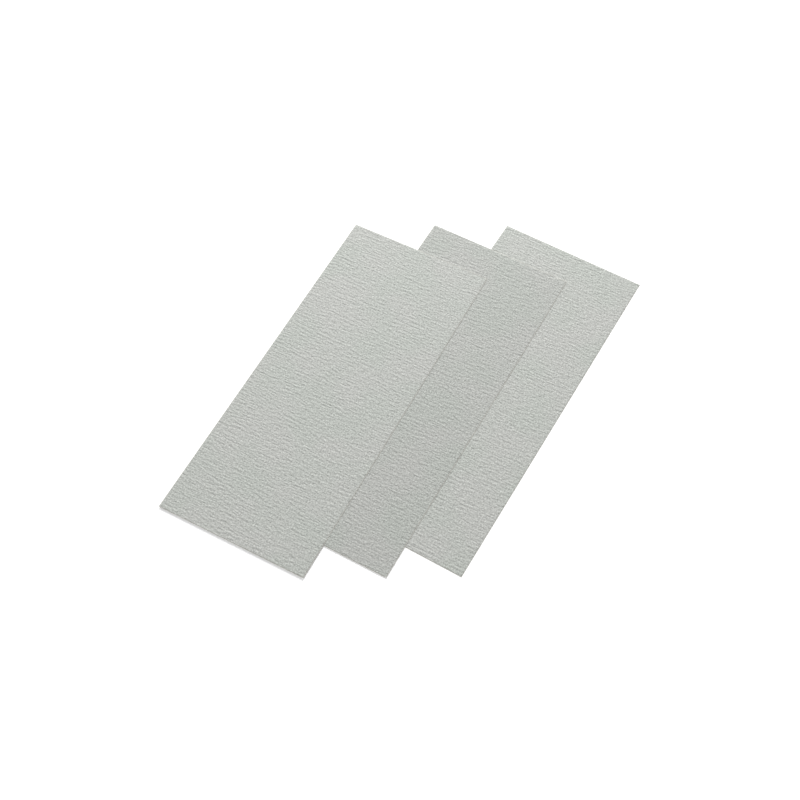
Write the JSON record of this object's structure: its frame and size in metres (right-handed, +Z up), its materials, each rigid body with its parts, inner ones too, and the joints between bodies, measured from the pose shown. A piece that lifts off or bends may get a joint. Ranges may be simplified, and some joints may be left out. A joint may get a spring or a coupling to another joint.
{
  "type": "sanding sheet set",
  "caption": "Loose rectangular sheets of fine abrasive paper, fanned out on a flat surface, for sanding and finishing by hand.",
  "frame": {"origin": "middle of the fan's outline, on the surface that the bottom sheet lies on", "axes": "+Z up from that surface, out of the abrasive face; +Y along the sheets' length; +X across them, towards the bottom sheet"},
  "size_m": [0.1776, 0.2744, 0.0009],
  "materials": {
    "backing_paper": "matte",
    "make_coat": "matte",
    "grain_layer": "matte",
    "size_coat": "matte",
    "anti_clog_coat": "matte"
  },
  "bodies": {
    "bottom_sheet": {"bottom_sheet_backing_paper": "backing_paper", "bottom_sheet_make_coat": "make_coat", "bottom_sheet_grain_layer": "grain_layer", "bottom_sheet_size_coat": "size_coat", "bottom_sheet_anti_clog_coat": "anti_clog_coat"},
    "middle_sheet": {"middle_sheet_backing_paper": "backing_paper", "middle_sheet_make_coat": "make_coat", "middle_sheet_grain_layer": "grain_layer", "middle_sheet_size_coat": "size_coat", "middle_sheet_anti_clog_coat": "anti_clog_coat"},
    "top_sheet": {"top_sheet_backing_paper": "backing_paper", "top_sheet_make_coat": "make_coat", "top_sheet_grain_layer": "grain_layer", "top_sheet_size_coat": "size_coat", "top_sheet_anti_clog_coat": "anti_clog_coat"}
  },
  "joints": [
    {"name": "middle_sheet_slide", "type": "slide", "parent": "bottom_sheet", "child": "middle_sheet", "axis": [-0.8729, -0.4879, 0], "range_m": [-0.0435, 0.0515]},
    {"name": "top_sheet_slide", "type": "slide", "parent": "middle_sheet", "child": "top_sheet", "axis": [-0.8729, -0.4879, 0], "range_m": [-0.0475, 0.0475]}
  ]
}
